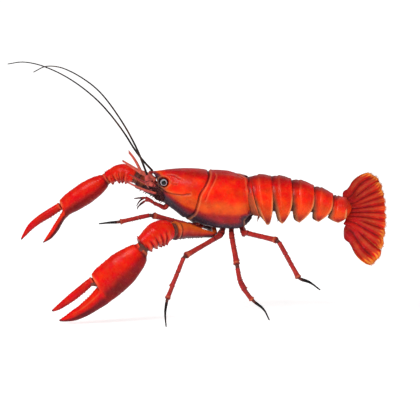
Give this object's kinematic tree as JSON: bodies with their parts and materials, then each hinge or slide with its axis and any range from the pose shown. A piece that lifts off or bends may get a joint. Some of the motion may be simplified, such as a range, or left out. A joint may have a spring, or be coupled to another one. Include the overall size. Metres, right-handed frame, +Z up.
{
  "type": "cooked crayfish",
  "caption": "Whole cooked crayfish standing on its walking legs, claws forward and down, long feelers raised, tail out behind with its fan spread.",
  "frame": {"origin": "bottom centre of the whole animal's box, on the surface it stands on", "axes": "+X towards the tail, -X towards the head, +Y towards the animal's right side, +Z up"},
  "size_m": [0.2032, 0.081, 0.1374],
  "materials": {
    "shell": "smooth wet cooked shell, red with an orange band and a slate lower margin",
    "tail_shell": "smooth wet cooked shell, red with pale orange edges",
    "claw_shell": "glossy cooked shell, bright red",
    "limb_shell": "satin cooked shell, dull red",
    "flesh": "soft brownish joint skin and flesh",
    "dark_tip": "dark horny shell",
    "feeler": "satin pinkish shell",
    "eye": "glossy black"
  },
  "bodies": {
    "root": {"carapace": "shell", "sternum": "flesh", "left_eye": "eye", "right_eye": "eye", "tail_core": "flesh", "tail_plate_1": "tail_shell", "tail_plate_2": "tail_shell", "tail_plate_3": "tail_shell", "tail_plate_4": "tail_shell", "tail_plate_5": "tail_shell", "tail_plate_6": "tail_shell", "left_outer_uropod": "tail_shell", "left_inner_uropod": "tail_shell", "telson": "tail_shell", "right_inner_uropod": "tail_shell", "right_outer_uropod": "tail_shell", "left_leg1_thigh": "limb_shell", "left_leg1_shin": "limb_shell", "left_leg1_toe": "dark_tip", "right_leg1_thigh": "limb_shell", "right_leg1_shin": "limb_shell", "right_leg1_toe": "dark_tip", "left_leg2_thigh": "limb_shell", "left_leg2_shin": "limb_shell", "left_leg2_toe": "dark_tip", "right_leg2_thigh": "limb_shell", "right_leg2_shin": "limb_shell", "right_leg2_toe": "dark_tip", "left_leg3_thigh": "limb_shell", "left_leg3_shin": "limb_shell", "left_leg3_toe": "dark_tip", "right_leg3_thigh": "limb_shell", "right_leg3_shin": "limb_shell", "right_leg3_toe": "dark_tip", "left_leg4_thigh": "limb_shell", "left_leg4_shin": "limb_shell", "left_leg4_toe": "dark_tip", "right_leg4_thigh": "limb_shell", "right_leg4_shin": "limb_shell", "right_leg4_toe": "dark_tip", "left_merus": "claw_shell", "left_carpus": "claw_shell", "left_palm": "claw_shell", "left_dactyl": "claw_shell", "right_merus": "claw_shell", "right_carpus": "claw_shell", "right_palm": "claw_shell", "right_dactyl": "claw_shell", "left_antenna": "dark_tip", "left_peduncle": "feeler", "left_antennal_scale": "feeler", "left_antennule": "feeler", "left_maxilliped": "limb_shell", "right_antenna": "dark_tip", "right_peduncle": "feeler", "right_antennal_scale": "feeler", "right_antennule": "feeler", "right_maxilliped": "limb_shell"}
  },
  "joints": []
}
